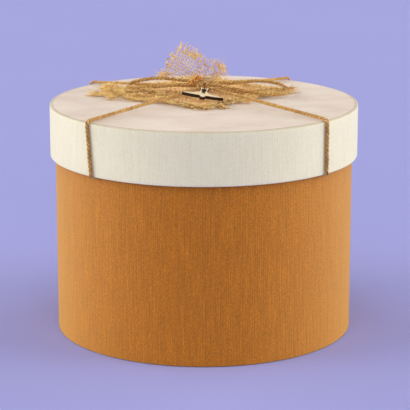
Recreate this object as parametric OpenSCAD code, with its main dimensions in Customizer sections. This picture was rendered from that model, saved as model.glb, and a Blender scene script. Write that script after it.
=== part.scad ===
// Round hat box: a board base and a lift-off board lid, both covered in ribbed paper.
// The lid carries a tied twine cross, a twine bow, two pieces of burlap and a wooden charm.
// Millimetres, +Z up, origin at the centre of the underside.

/* [Box] */
// Outside radius of the base, paper included
base_radius = 100; // [94:1:106]
// Height of the base on its own, up to its rim
base_height = 152; // [110:1:200]
// How far the lid's side stands out past the base's side
lid_overhang = 3.5; // [3.5:0.1:5]
// Depth of the lid's side
lid_depth = 35; // [28:1:60]
// Thickness of the greyboard
board_thickness = 1.7; // [1.4:0.1:1.8]
// Thickness of each covering or lining paper
paper_thickness = 0.25; // [0.15:0.05:0.25]

/* [Paper edges] */
// Width of the covering paper turned under the base
foot_turn_width = 14; // [10:1:20]
// Depth of the covering paper turned in over each rim
rim_turn_depth = 12; // [8:1:16]
// Width of the covering paper turned onto the lid's top
top_turn_width = 10; // [6:1:14]
// How far the top paper's edge is inset from the lid's side
top_paper_inset = 1.2; // [1.1:0.1:2.5]

/* [Twine] */
// Diameter of the jute twine
twine_diameter = 2.5; // [2.2:0.1:2.6]
// Direction in which the front left strand crosses the lid's edge
front_left_angle = 224.8; // [220:0.1:229]
// Direction of the front right strand
front_right_angle = 318.8; // [314:0.1:323]
// Direction of the back right strand
back_right_angle = 54.5; // [50:0.1:58]
// Direction of the back left strand
back_left_angle = 139.5; // [136:0.1:143]
// Radius of the knot
knot_radius = 4.6; // [4.4:0.1:4.8]

/* [Burlap] */
// Side of the square patch, frayed edge included
patch_side = 90; // [80:1:94]
// Turn of the patch about the vertical
patch_turn = 48.6; // [45:0.1:52]
// Backward lean of the standing burlap
crest_lean = 12; // [8:1:14]

/* [Charm] */
// Thickness of the plywood charm
charm_thickness = 2.2; // [1.8:0.1:2.4]
// Distance from wing tip to wing tip
charm_span = 28; // [24:1:30]
// Forward slope of the charm at rest
charm_pitch = 15; // [10:1:18]
// Sideways slope of the charm at rest
charm_roll = 8; // [5:1:9]
// Turn of the charm about the vertical
charm_yaw = -5; // [-6:1:0]

/* [Hidden] */

$fn = 96;

// Base
wall_thickness = board_thickness + 2 * paper_thickness;
base_inner_radius = base_radius - wall_thickness;
base_board_outer = base_radius - paper_thickness;
base_board_inner = base_board_outer - board_thickness;
edge_round = 0.8;
foot_paper_radius = base_radius - 5;
board_foot_z = 2 * paper_thickness;
floor_top_z = board_foot_z + board_thickness;

// Lid
lid_radius = base_radius + lid_overhang;
lid_inner_radius = lid_radius - wall_thickness;
lid_board_outer = lid_radius - paper_thickness;
lid_board_inner = lid_board_outer - board_thickness;
lid_rest_gap = 0.1;
ceiling_z = base_height + lid_rest_gap;
top_board_z = ceiling_z + paper_thickness;
top_board_top_z = top_board_z + board_thickness;
side_wrap_top_z = top_board_top_z + paper_thickness;
lid_top_z = side_wrap_top_z + paper_thickness;
lid_rim_z = lid_top_z - lid_depth;

// Twine: heights are above the lid's top
twine_radius = twine_diameter / 2;
twine_sides = 8;
twine_gap = 0.1;
twine_twist_lean = 1.7;
// Half thickness and half width of a strand where it flattens: round the rim, under it and inside
round_rim_half = [0.9, 1.6];
under_rim_half = [0.55, 2.2];
inside_half = [0.35, 2.6];
twine_end_height = 10;
knot_y = 10;
knot_low = 5.7;
knot_high = 12.1;
knot_round = 2.2;
strand_height = 8.3;
strand_start = 3.2;

// Route of the right loop, from the knot and back into it
loop_right_route = [
    [3.4, 8.6, 10.2], [12, 9, 9], [20, 9.5, 7], [29, 9, 5.4], [38, 8, 4], [46, 8, 3], [53, 11.5, 2.8],
    [57.5, 18, 3], [57.5, 25, 4.3], [52.5, 29.5, 6.5], [45, 30.5, 8.3], [36, 28, 9.2], [27, 23, 9.6],
    [18, 18, 10], [10, 14.2, 10.4], [3.4, 11.6, 10.5]
];
// Route of the left loop
loop_left_route = [
    [-3.4, 11.6, 10.7], [-12, 15.5, 11.4], [-22, 21, 11.8], [-32, 26.5, 11.2], [-41, 30, 9.8],
    [-48, 31, 8], [-52.5, 28, 6.4], [-52.5, 23.5, 5.4], [-48, 20, 5.4], [-40, 18.5, 6],
    [-31, 16.5, 7.2], [-21, 14, 8.6], [-12, 11, 9.6], [-3.4, 8.6, 10.2]
];
// Route of the right tail, which lies on the patch under the loop
tail_right_route = [
    [4, 10, 7.2], [10, 12, 6.2], [17, 14.5, 4.8], [24, 17.5, 3.4], [31, 21, 2.6], [38, 25, 2.5],
    [45, 28.5, 2.5], [52, 31.5, 2.5], [59, 34, 2.5]
];
// Route of the left tail
tail_left_route = [
    [-4, 9.5, 7.2], [-10, 8, 6], [-17, 6, 4.4], [-24, 4.5, 3], [-31, 4, 2.5], [-38, 5, 2.5],
    [-44.5, 7.5, 2.5]
];

// Burlap
burlap_thickness = 0.9;
burlap_gap = 0.1;
patch_centre = [-3, 28];
stem_radius = 6.3;
stem_y = 12;
crest_thickness = 3;
crest_front_y = 15.4;
crest_lean_height = 8;
// Outline of the standing burlap, x and height above the lid's top
crest_outline = [
    [-2.6, 1.1], [2.6, 1.1], [2.6, 12.6], [4, 14], [15, 14.6], [16, 18], [5, 27], [-8, 33],
    [-17.5, 36.5], [-20, 34], [-26, 22], [-28, 17], [-22, 15.2], [-4, 14], [-2.6, 12.6]
];

// Charm: its own plan has the hole at the origin and the head towards -Y
charm_hole = [0, -4, 7.3];
charm_hole_radius = 1.4;
charm_body_radius = 2.8;
charm_head_radius = 2.1;
charm_head_y = -8.3;
wing_half = charm_span / 2;
// Thread, in the charm's rolled and turned frame: a stopper knot below the hole, then up to the twine
thread_radius = 0.4;
thread_stop_radius = 1;
thread_tip_radius = 0.5;
thread_route = [
    [0, -1.1, -4.1], [0, -1, -3.8], [0, -0.8, -3.1], [0, -0.7, -2.7], [0, -0.4, -1.5], [0, 0.45, 1.7],
    [0, 0.9, 3.2], [0, 2.4, 4.7], [0, 4.9, 5.1], [0, 7.6, 4.4], [0, 10.4, 3.4]
];
thread_sizes = concat(
    [thread_tip_radius, thread_stop_radius, thread_stop_radius],
    [for (i = [3 : len(thread_route) - 1]) thread_radius]
);

function unit(v) = v / norm(v);

function tangent(path, i) = unit(path[min(i + 1, len(path) - 1)] - path[max(i - 1, 0)]);

// One ring of a tube: its two half sizes lie across and along the reference direction
function ring(path, i, ref, across, along) =
    let (t = tangent(path, i), side = unit(cross(t, ref)), other = cross(side, t))
    [for (k = [0 : twine_sides - 1])
        path[i] + across * cos(360 * k / twine_sides) * side + along * sin(360 * k / twine_sides) * other];

// Side faces between ring i and the next one
function band(i) = [for (k = [0 : twine_sides - 1])
    let (next = (k + 1) % twine_sides)
    [i * twine_sides + k, (i + 1) * twine_sides + k, (i + 1) * twine_sides + next, i * twine_sides + next]];

// A closed tube swept along a path
module swept_tube(path, ref, across, along) {
    last = (len(path) - 1) * twine_sides;
    rings = [for (i = [0 : len(path) - 1]) each ring(path, i, ref, across[i], along[i])];
    sides = [for (i = [0 : len(path) - 2]) each band(i)];
    start_cap = [[for (k = [0 : twine_sides - 1]) k]];
    end_cap = [[for (k = [twine_sides - 1 : -1 : 0]) last + k]];
    polyhedron(rings, concat(start_cap, sides, end_cap));
}

// A round tube along a path that stays clear of the vertical
module round_tube(path, radius, ref = [0, 0, 1]) {
    sizes = [for (p = path) radius];
    swept_tube(path, ref, sizes, sizes);
}

// Cross-section of a band whose outer corners are rounded, for rotate_extrude
module rounded_band(inner, outer, low, high, corner) {
    translate([inner, low]) square([outer - corner - inner, high - low]);
    translate([inner, low + corner]) square([outer - inner, high - low - 2 * corner]);
    for (z = [low + corner, high - corner]) translate([outer - corner, z]) circle(corner, $fn = 32);
}

// A plain ring of rectangular cross-section
module flat_ring(inner, outer, low, high) {
    rotate_extrude() translate([inner, low]) square([outer - inner, high - low]);
}

module disc(radius, low, high) {
    translate([0, 0, low]) cylinder(r = radius, h = high - low);
}

// Rounded cross-section of the base's board tube
module base_board_section() {
    rounded_band(base_board_inner, base_board_outer, board_foot_z, base_height - paper_thickness,
        edge_round - paper_thickness);
}

module base_wall() {
    color("tan") rotate_extrude() base_board_section();
}

module base_floor_board() {
    color("tan") disc(base_board_inner, board_foot_z, floor_top_z);
}

// Ribbed covering paper: down the side, in over the rim and under the foot
module base_wrap() {
    color("sandybrown") rotate_extrude() difference() {
        rounded_band(base_inner_radius, base_radius, paper_thickness, base_height, edge_round);
        base_board_section();
        translate([0, board_foot_z])
            square([base_board_inner + board_thickness / 2, base_height - rim_turn_depth - board_foot_z]);
    }
    color("sandybrown")
        flat_ring(base_radius - foot_turn_width, base_inner_radius, paper_thickness, board_foot_z);
}

module base_side_lining() {
    color("wheat")
        flat_ring(base_inner_radius, base_board_inner, floor_top_z + paper_thickness,
            base_height - rim_turn_depth);
}

module base_floor_lining() {
    color("wheat") disc(base_board_inner, floor_top_z, floor_top_z + paper_thickness);
}

module base_foot_paper() {
    color("burlywood") disc(foot_paper_radius, 0, paper_thickness);
}

// Rounded cross-section of the lid's side board
module lid_board_section() {
    rounded_band(lid_board_inner, lid_board_outer, lid_rim_z + paper_thickness, top_board_top_z,
        edge_round - paper_thickness);
}

module lid_side_board() {
    color("tan") rotate_extrude() lid_board_section();
}

module lid_top_board() {
    color("tan") disc(lid_board_inner, top_board_z, top_board_top_z);
}

// Ribbed covering paper: onto the top, down the side and in under the rim
module lid_side_wrap() {
    color("ivory") rotate_extrude() difference() {
        rounded_band(lid_inner_radius, lid_radius, lid_rim_z, side_wrap_top_z, edge_round);
        lid_board_section();
        translate([0, lid_rim_z + rim_turn_depth])
            square([lid_board_inner + board_thickness / 2, top_board_top_z - lid_rim_z - rim_turn_depth]);
    }
    color("ivory")
        flat_ring(lid_radius - top_turn_width, lid_inner_radius, top_board_top_z, side_wrap_top_z);
}

module lid_top_paper() {
    color("antiquewhite") disc(lid_radius - top_paper_inset, side_wrap_top_z, lid_top_z);
}

module lid_side_lining() {
    color("wheat") flat_ring(lid_inner_radius, lid_board_inner, lid_rim_z + rim_turn_depth, ceiling_z);
}

module lid_top_lining() {
    color("wheat") disc(lid_board_inner, ceiling_z, top_board_z);
}

function polar(angle, radius, height) = [radius * cos(angle), radius * sin(angle), height];

// Centreline of a strand: straight from the knot to the lid's edge, round the edge, down the side,
// under the rim and up the inside, where it is pressed flat and glued
function strand_path(top_angle, low_angle) =
    let (
        bend = edge_round + twine_gap + twine_radius,
        corner = lid_radius - edge_round,
        rim_corner = lid_rim_z + edge_round,
        edge = polar(top_angle, corner, lid_top_z - edge_round + bend),
        knot = [0, knot_y, lid_top_z + strand_height],
        turn = edge_round + twine_gap + round_rim_half[0],
        inner = lid_inner_radius - twine_gap - inside_half[0],
        half = (top_angle + low_angle) / 2
    )
    concat(
        [knot + strand_start * unit(edge - knot)],
        [for (a = [90 : -30 : 0])
            polar(top_angle, corner + bend * cos(a), lid_top_z - edge_round + bend * sin(a))],
        [polar(half, lid_radius + twine_gap + twine_radius, (lid_top_z + lid_rim_z) / 2)],
        [polar(low_angle, lid_radius + twine_gap + twine_radius, rim_corner)],
        [polar(low_angle, corner + turn * cos(45), rim_corner - turn * sin(45))],
        [polar(low_angle, corner, lid_rim_z - twine_gap - under_rim_half[0])],
        [polar(low_angle, inner, lid_rim_z - twine_gap)],
        [polar(low_angle, inner, lid_rim_z + twine_end_height)]
    );

// Half thickness (part 0) or half width (part 1) of a strand at each point of its path
function strand_half(part) = concat(
    [for (i = [1 : 7]) twine_radius],
    [round_rim_half[part], under_rim_half[part], inside_half[part], inside_half[part]]
);

module twine_strand(top_angle, low_angle) {
    color("peru")
        swept_tube(strand_path(top_angle, low_angle), [-sin(low_angle), cos(low_angle), 0],
            strand_half(0), strand_half(1));
}

module twine_front_left() {
    twine_strand(front_left_angle, front_left_angle + twine_twist_lean);
}

module twine_front_right() {
    twine_strand(front_right_angle, front_right_angle);
}

module twine_back_right() {
    twine_strand(back_right_angle, back_right_angle);
}

module twine_back_left() {
    twine_strand(back_left_angle, back_left_angle);
}

// The knot that ties the crossing, the bow and the gathered burlap
module twine_knot() {
    color("peru") translate([0, knot_y, lid_top_z])
        rotate_extrude() intersection() {
            rounded_band(-knot_radius, knot_radius, knot_low, knot_high, knot_round);
            translate([0, knot_low]) square([knot_radius, knot_high - knot_low]);
        }
}

module bow_loop_right() {
    color("peru") translate([0, 0, lid_top_z]) round_tube(loop_right_route, twine_radius);
}

module bow_loop_left() {
    color("peru") translate([0, 0, lid_top_z]) round_tube(loop_left_route, twine_radius);
}

module bow_tail_right() {
    color("peru") translate([0, 0, lid_top_z]) round_tube(tail_right_route, twine_radius);
}

module bow_tail_left() {
    color("peru") translate([0, 0, lid_top_z]) round_tube(tail_left_route, twine_radius);
}

// Square of burlap laid on the lid
module burlap_patch() {
    color("burlywood")
        translate([patch_centre[0], patch_centre[1], lid_top_z + burlap_gap])
            rotate([0, 0, patch_turn])
                translate([-patch_side / 2, -patch_side / 2, 0])
                    cube([patch_side, patch_side, burlap_thickness]);
}

// Burlap gathered under the knot and standing up behind it
module burlap_crest() {
    stem_low = burlap_gap + burlap_thickness + burlap_gap;
    stem_high = knot_low - twine_gap;
    color("burlywood") translate([0, 0, lid_top_z]) {
        translate([0, stem_y, stem_low]) cylinder(r = stem_radius, h = stem_high - stem_low, $fn = 48);
        translate([0, crest_front_y + crest_thickness, crest_lean_height])
            rotate([90 - crest_lean, 0, 0])
                translate([0, -crest_lean_height, 0])
                    linear_extrude(crest_thickness) polygon(crest_outline);
    }
}

// Places its children in the charm's rolled and turned frame, with the hole at the origin
module charm_frame() {
    translate([charm_hole[0], charm_hole[1], lid_top_z + charm_hole[2]])
        rotate([0, charm_roll, charm_yaw]) children();
}

// Right half of the charm's outline, from the head back along the wing to the forked tail
wing_outline = [
    [2, -8.2], [wing_half, -7.3], [wing_half - 0.6, -6.1], [8, -4.6], [3.2, -3], [2.2, -1], [2.4, 1],
    [3.4, 5.2], [1.2, 3.4]
];

// A bird in flight cut from plywood, with a hole through its back
module charm() {
    mirrored = [for (i = [len(wing_outline) - 1 : -1 : 0]) [-wing_outline[i][0], wing_outline[i][1]]];
    low = -charm_thickness / 2;
    color("navajowhite") charm_frame() rotate([charm_pitch, 0, 0]) difference() {
        union() {
            translate([0, 0, low]) linear_extrude(charm_thickness) polygon(concat(wing_outline, mirrored));
            translate([0, 0, low]) cylinder(r = charm_body_radius, h = charm_thickness, $fn = 48);
            translate([0, charm_head_y, low]) cylinder(r = charm_head_radius, h = charm_thickness, $fn = 40);
        }
        cylinder(r = charm_hole_radius, h = 2 * charm_thickness, center = true, $fn = 32);
    }
}

// Thread from the knot down through the charm's hole, ending in a stopper knot below it
module charm_thread() {
    color("sienna") charm_frame() swept_tube(thread_route, [1, 0, 0], thread_sizes, thread_sizes);
}

base_wall();
base_floor_board();
base_wrap();
base_side_lining();
base_floor_lining();
base_foot_paper();
lid_side_board();
lid_top_board();
lid_side_wrap();
lid_top_paper();
lid_side_lining();
lid_top_lining();
twine_front_left();
twine_front_right();
twine_back_right();
twine_back_left();
twine_knot();
bow_loop_right();
bow_loop_left();
bow_tail_right();
bow_tail_left();
burlap_patch();
burlap_crest();
charm();
charm_thread();
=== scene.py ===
import math

import bmesh
import bpy
import numpy as np
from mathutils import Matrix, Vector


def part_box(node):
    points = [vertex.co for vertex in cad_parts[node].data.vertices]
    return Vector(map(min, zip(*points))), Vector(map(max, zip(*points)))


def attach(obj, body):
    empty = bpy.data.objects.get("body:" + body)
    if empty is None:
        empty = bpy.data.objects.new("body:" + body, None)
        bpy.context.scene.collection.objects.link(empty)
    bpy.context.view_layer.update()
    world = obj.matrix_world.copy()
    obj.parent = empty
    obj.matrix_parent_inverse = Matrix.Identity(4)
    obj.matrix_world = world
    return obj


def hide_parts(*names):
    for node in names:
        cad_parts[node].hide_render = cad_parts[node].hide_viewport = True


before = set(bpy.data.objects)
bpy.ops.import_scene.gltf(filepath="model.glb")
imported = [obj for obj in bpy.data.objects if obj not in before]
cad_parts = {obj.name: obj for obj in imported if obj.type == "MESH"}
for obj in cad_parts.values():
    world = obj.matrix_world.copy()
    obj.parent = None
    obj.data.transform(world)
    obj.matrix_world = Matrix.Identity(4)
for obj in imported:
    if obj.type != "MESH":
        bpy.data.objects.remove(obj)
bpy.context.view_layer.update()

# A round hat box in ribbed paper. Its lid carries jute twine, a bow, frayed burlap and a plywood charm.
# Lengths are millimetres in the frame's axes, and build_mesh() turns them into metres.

MM = 0.001


def box_mm(node):
    """Lowest and highest corner of a CAD node."""
    low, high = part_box(node)
    return np.array(low) / MM, np.array(high) / MM


# ---------------- sizes, from the frame
BASE_RADIUS = box_mm("base_wrap")[1][0]
BASE_HEIGHT = box_mm("base_wrap")[1][2]
LID_RADIUS = box_mm("lid_side_wrap")[1][0]
RIM_Z = box_mm("lid_side_wrap")[0][2]
WRAP_TOP_Z = box_mm("lid_side_wrap")[1][2]
TOP_Z = box_mm("lid_top_paper")[1][2]
TOP_PAPER_RADIUS = box_mm("lid_top_paper")[1][0]
PAPER = TOP_Z - WRAP_TOP_Z
BOARD = np.ptp([corner[2] for corner in box_mm("lid_top_board")])
WALL = BOARD + 2 * PAPER
EDGE_ROUND = 0.8
# How far each covering paper is turned in over the rim, under the foot and onto the lid's top
RIM_TURN = 12
FOOT_TURN = 14
TOP_TURN = 10

TWINE_RADIUS = 1.25
TWINE_GAP = 0.1
ON_LID = np.array([0, 0, TOP_Z])
KNOT = np.array([0, 10, TOP_Z + 8.9])
STRAND_HEIGHT = 8.3
STRAND_START = 0.8
# Where each arm of the cross meets the lid's top edge and its rim, in degrees
STRANDS = {
    "twine_front_left": (224.8, 226.5),
    "twine_front_right": (318.8, 318.8),
    "twine_back_right": (54.5, 54.5),
    "twine_back_left": (139.5, 139.5),
}
# Routes of the bow as x, y and height above the lid's top, as in the CAD source
BOW = {
    "bow_loop_right": [
        [3.4, 8.6, 10.2], [12, 9, 9], [20, 9.5, 7], [29, 9, 5.4], [38, 8, 4], [46, 8, 3], [53, 11.5, 2.8],
        [57.5, 18, 3], [57.5, 25, 4.3], [52.5, 29.5, 6.5], [45, 30.5, 8.3], [36, 28, 9.2], [27, 23, 9.6],
        [18, 18, 10], [10, 14.2, 10.4], [3.4, 11.6, 10.5],
    ],
    "bow_loop_left": [
        [-3.4, 11.6, 10.7], [-12, 15.5, 11.4], [-22, 21, 11.8], [-32, 26.5, 11.2], [-41, 30, 9.8],
        [-48, 31, 8], [-52.5, 28, 6.4], [-52.5, 23.5, 5.4], [-48, 20, 5.4], [-40, 18.5, 6],
        [-31, 16.5, 7.2], [-21, 14, 8.6], [-12, 11, 9.6], [-3.4, 8.6, 10.2],
    ],
    "bow_tail_right": [
        [4, 10, 7.2], [10, 12, 6.2], [17, 14.5, 4.8], [24, 17.5, 3.4], [31, 21, 2.6], [38, 25, 2.5],
        [45, 28.5, 2.5], [52, 31.5, 2.5], [59, 34, 2.5],
    ],
    "bow_tail_left": [
        [-4, 9.5, 7.2], [-10, 8, 6], [-17, 6, 4.4], [-24, 4.5, 3], [-31, 4, 2.5], [-38, 5, 2.5],
        [-44.5, 7.5, 2.5],
    ],
}

# The patch of burlap that lies on the lid. Each cloth has plan coordinates u and v of its own.
PATCH_SIDE = 90
PATCH_FRINGE = 8
PATCH_CENTRE = (-3, 28)
PATCH_TURN = math.radians(48.6)
FOLD_CENTRE = (-44, 27)
FOLD_TURN = math.radians(-25)
FOLD_U, FOLD_V = (-22.0, 20.0), (-6.0, 9.0)
FOLD_LIFT = 1.1
YARN_PITCH = 1.9
CLOTH_Z = TOP_Z + 0.6

# The crest that stands up behind the knot. Its apex is x and height above the lid's top.
CREST_APEX = (-18.0, 37.5)
CREST_EDGE_ANGLE = math.radians(-28.9)
CREST_LEAN = math.radians(12)
CREST_Y = 17
CREST_U, CREST_V = (4.0, 38.0), (5.0, 26.0)
CREST_PITCH = 2.1
NECK_U, NECK_V = (0.0, 26.0), (0.0, 12.0)
NECK_TOP = 12.4

CHARM_HOLE = np.array([0, -4, TOP_Z + 7.3])
CHARM_ANGLES = (15, 8, -5)
CHARM_THICKNESS = 2.2
HOLE_RADIUS = 1.4
HOLE_SIDES = 24


# ---------------- mesh tools
def unit(vectors):
    """Vectors brought to length 1."""
    return vectors / np.maximum(np.linalg.norm(vectors, axis=-1, keepdims=True), 1e-9)


def build_mesh(name, points, faces, material, fibre=None, smooth=True):
    """A mesh object. fibre holds a vector for each point, for its material, and if fourth its shade."""
    data = bpy.data.meshes.new(name)
    points = np.asarray(points, float).reshape(-1, 3)
    data.from_pydata((points * MM).tolist(), [], faces)
    if fibre is not None:
        fibre = np.asarray(fibre, np.float32)
        fibre = fibre.reshape(-1, fibre.shape[-1])
        layer = data.attributes.new("fibre", "FLOAT_VECTOR", "POINT")
        layer.data.foreach_set("vector", fibre[:, :3].ravel())
        if fibre.shape[1] == 4:
            data.attributes.new("shade", "FLOAT", "POINT").data.foreach_set("value", fibre[:, 3].copy())
    data.polygons.foreach_set("use_smooth", [smooth] * len(data.polygons))
    data.materials.append(material)
    piece = bpy.data.objects.new(name, data)
    bpy.context.scene.collection.objects.link(piece)
    return piece


def mount(piece, body, slot, *nodes):
    """The piece rides on a body and stands for CAD nodes, which it hides. slot is not used."""
    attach(piece, body)
    if nodes:
        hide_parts(*nodes)
    return piece


def tubes(paths, normals, wide, thick, sides, seed, twist=0.0, shade=0.85, top_shade=0.15):
    """Closed elliptical tubes along many paths of equal length.

    paths is (count, steps, 3). Half sizes are wide across the normal and thick along it.
    Returns points, faces, and for each point its straightened place, which fibres follow, and its painted
    shade.
    shade is 0 to 1 along the paths, and top_shade is what the side along the normal adds to it: that side is
    painted lighter and the far side darker."""
    paths = np.asarray(paths, float)
    count, steps = paths.shape[:2]
    tangents = unit(np.gradient(paths, axis=1))
    across = unit(np.cross(tangents, np.broadcast_to(normals, paths.shape)))
    along = np.cross(across, tangents)
    angle = 2 * math.pi * np.arange(sides) / sides
    wide = np.broadcast_to(wide, (count, steps))[..., None, None]
    thick = np.broadcast_to(thick, (count, steps))[..., None, None]
    ring_x = np.cos(angle)[None, None, :, None]
    ring_y = np.sin(angle)[None, None, :, None]
    points = paths[:, :, None] + wide * ring_x * across[:, :, None] + thick * ring_y * along[:, :, None]

    gaps = np.linalg.norm(np.diff(paths, axis=1), axis=2)
    distance = np.concatenate([np.zeros((count, 1)), np.cumsum(gaps, axis=1)], axis=1)
    start = np.random.default_rng(seed).uniform(0, 400, (count, 1))
    spun = angle[None, None] + (twist * distance)[..., None]
    fibre = np.stack([
        np.broadcast_to((distance + start)[..., None], spun.shape),
        wide[..., 0] * np.cos(spun),
        wide[..., 0] * np.sin(spun),
        np.broadcast_to(shade, (count, steps))[..., None] + top_shade * np.sin(angle),
    ], axis=-1)

    k = np.arange(sides)
    after = (k + 1) % sides
    tube = np.arange(count)[:, None, None] * steps * sides
    low = tube + np.arange(steps - 1)[None, :, None] * sides
    quads = np.stack([low + k, low + after, low + sides + after, low + sides + k], axis=-1)
    first = tube[:, :, 0] + k[::-1]
    last = tube[:, :, 0] + (steps - 1) * sides + k
    faces = quads.reshape(-1, 4).tolist() + first.tolist() + last.tolist()
    return points.reshape(-1, 3), faces, fibre.reshape(-1, 4)


def joined(parts):
    """Several (points, faces, fibre) as one."""
    points, faces, fibre, offset = [], [], [], 0
    for part_points, part_faces, part_fibre in parts:
        points.append(part_points)
        fibre.append(part_fibre)
        faces += [[index + offset for index in face] for face in part_faces]
        offset += len(part_points)
    return np.vstack(points), faces, np.vstack(fibre)


def add_soft(name, parts, material, slot, *nodes):
    """One piece of the lid's decoration, made of several (points, faces, fibre)."""
    points, faces, fibre = joined(parts)
    return mount(build_mesh(name, points, faces, material, fibre), "lid", slot, *nodes)


def run_length(path):
    """The distance along a path at each of its points."""
    gaps = np.linalg.norm(np.diff(path, axis=0), axis=1)
    return np.concatenate([[0], np.cumsum(gaps)])


def even_path(route, step, rounding):
    """The route as evenly spaced points, its corners rounded over that many millimetres."""
    route = np.asarray(route, float)
    at = run_length(route)
    where = np.linspace(0, at[-1], int(round(at[-1] / step)) + 1)
    line = np.stack([np.interp(where, at, route[:, axis]) for axis in range(3)], axis=1)
    reach = max(1, int(3 * rounding / step))
    padded = np.vstack([2 * line[0] - line[reach:0:-1], line, 2 * line[-1] - line[-2:-reach - 2:-1]])
    weights = np.exp(-0.5 * (np.arange(-reach, reach + 1) * step / rounding) ** 2)
    weights /= weights.sum()
    return np.stack([np.convolve(padded[:, axis], weights, "valid") for axis in range(3)], axis=1)


def carried_frames(path, first):
    """The path's direction and two directions square to it at each point, carried along without twisting."""
    tangents = unit(np.gradient(path, axis=0))
    normals = np.empty_like(path)
    normal = np.asarray(first, float)
    for i, tangent in enumerate(tangents):
        normal = unit(normal - (normal @ tangent) * tangent)
        normals[i] = normal
    return tangents, np.cross(tangents, normals), normals


def smooth_noise(rng, count, steps, knots):
    """Slowly changing values between -1 and 1 along each of count rows."""
    coarse = rng.uniform(-1, 1, (count, knots))
    where = np.linspace(0, knots - 1, steps)
    return np.array([np.interp(where, np.arange(knots), row) for row in coarse])


def smooth_step(share):
    """0 to 1, easing in and out."""
    return share * share * (3 - 2 * share)


def turned(x, y, angle):
    """Plan points turned about the origin."""
    cosine, sine = math.cos(angle), math.sin(angle)
    return cosine * x - sine * y, sine * x + cosine * y


# ---------------- material tools
def srgb(red, green, blue):
    """A colour given in 0 to 255 as the eye sees it, in linear light."""
    shares = [value / 255 for value in (red, green, blue)]
    return tuple(share / 12.92 if share < 0.0404 else ((share + 0.055) / 1.055) ** 2.4 for share in shares)


class Graph:
    """A material's nodes. A value given to an input is a number, a colour or another node's output."""

    def __init__(self, name, roughness, specular=0.3, sheen=0.0, sheen_tint=(1, 1, 1), sheen_roughness=0.35):
        self.material = bpy.data.materials.new(name)
        self.material.use_nodes = True
        self.tree = self.material.node_tree
        self.shader = self.tree.nodes["Principled BSDF"]
        self.shader.inputs["Roughness"].default_value = roughness
        self.shader.inputs["Specular IOR Level"].default_value = specular
        self.shader.inputs["Sheen Weight"].default_value = sheen
        self.shader.inputs["Sheen Tint"].default_value = (*sheen_tint, 1)
        self.shader.inputs["Sheen Roughness"].default_value = sheen_roughness

    def node(self, kind, inputs=(), **settings):
        """A node with its settings, and its inputs set or linked."""
        made = self.tree.nodes.new("ShaderNode" + kind)
        for name, value in settings.items():
            setattr(made, name, value)
        for name, value in dict(inputs).items():
            if isinstance(value, bpy.types.NodeSocket):
                self.tree.links.new(value, made.inputs[name])
            else:
                made.inputs[name].default_value = value
        return made

    def attribute(self, name, output):
        """One output of a mesh attribute."""
        return self.node("Attribute", attribute_name=name).outputs[output]

    def place(self, scale, attribute=None):
        """The object's coordinates in millimetres, or an attribute, times a scale on each axis."""
        if attribute:
            source = self.attribute(attribute, "Vector")
        else:
            source = self.node("TexCoord").outputs["Object"]
            scale = [size / MM for size in scale]
        return self.node("Mapping", {"Vector": source, "Scale": scale}).outputs[0]

    def noise(self, scale, detail=2.0, roughness=0.5, attribute=None):
        """Noise that changes about scale times in a millimetre along each axis."""
        place = self.place(scale, attribute)
        inputs = {"Vector": place, "Scale": 1.0, "Detail": detail, "Roughness": roughness}
        return self.node("TexNoise", inputs).outputs[0]

    def math(self, operation, a, b):
        """Two values put together."""
        return self.node("Math", {0: a, 1: b}, operation=operation).outputs[0]

    def total(self, *terms):
        """The sum of (value, share) terms."""
        result = None
        for value, share in terms:
            term = self.math("MULTIPLY", value, share)
            result = term if result is None else self.math("ADD", result, term)
        return result

    def ramp(self, value, stops):
        """Colours along a value from 0 to 1."""
        made = self.node("ValToRGB", {"Fac": value})
        points = made.color_ramp.elements
        while len(points) < len(stops):
            points.new(0.5)
        for point, (at, colour) in zip(points, stops):
            point.position = at
            point.color = (*colour, 1)
        return made.outputs[0]

    def mix(self, factor, a, b, blend="MIX"):
        """Two colours mixed, each a colour or another node's output."""
        inputs = {0: factor}
        for index, colour in ((6, a), (7, b)):
            inputs[index] = (*colour, 1) if isinstance(colour, tuple) else colour
        return self.node("Mix", inputs, data_type="RGBA", blend_type=blend).outputs[2]

    def colour(self, value):
        """Paints the surface."""
        self.tree.links.new(value, self.shader.inputs["Base Color"])

    def roughness(self, value, low, high):
        """Sets the surface's roughness between low and high."""
        made = self.node("MapRange", {"Value": value, "To Min": low, "To Max": high})
        self.tree.links.new(made.outputs[0], self.shader.inputs["Roughness"])

    def bump(self, *layers):
        """Bumps of (height value, depth in millimetres), one on top of another."""
        normal = None
        for value, depth in layers:
            inputs = {"Height": value, "Distance": depth * MM, "Strength": 1.0}
            if normal is not None:
                inputs["Normal"] = normal
            normal = self.node("Bump", inputs).outputs[0]
        self.tree.links.new(normal, self.shader.inputs["Normal"])


# ---------------- materials
def jute_material(name, dark, middle, light, fibre_scale=5.0, spread=0.13, light_painted_shade=False):
    """Jute: streaks along each yarn, lighter and darker patches, and painted shade that darkens it where the
    shade attribute is low.
    """
    graph = Graph(name, 0.85, specular=0.25, sheen=0.25)
    streaks = graph.noise((0.35, fibre_scale, fibre_scale), 3.0, 0.6, "fibre")
    patches = graph.noise((0.09, 0.2, 0.2), 2.0, 0.6, "fibre")
    tone = graph.total((streaks, 0.6), (patches, 0.4))
    colour = graph.ramp(tone, [(0.5 - spread, dark), (0.5, middle), (0.49 + spread, light)])
    depth = graph.attribute("shade", "Fac")
    # Painted shade from the shade attribute: darker on each yarn's underside, in the grooves between plies
    # and where a yarn dips under another; much fainter when the last flag is set.
    crossing = (0.9, 0.87, 0.8) if light_painted_shade else (0.68, 0.61, 0.5)
    shadow = graph.ramp(depth, [(0.1, (0.28, 0.21, 0.13)), (0.55, crossing), (0.9, (1, 1, 1))])
    graph.colour(graph.mix(1.0, colour, shadow, "MULTIPLY"))
    graph.roughness(streaks, 0.75, 0.95)
    graph.bump((streaks, 0.15))
    return graph.material


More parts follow.
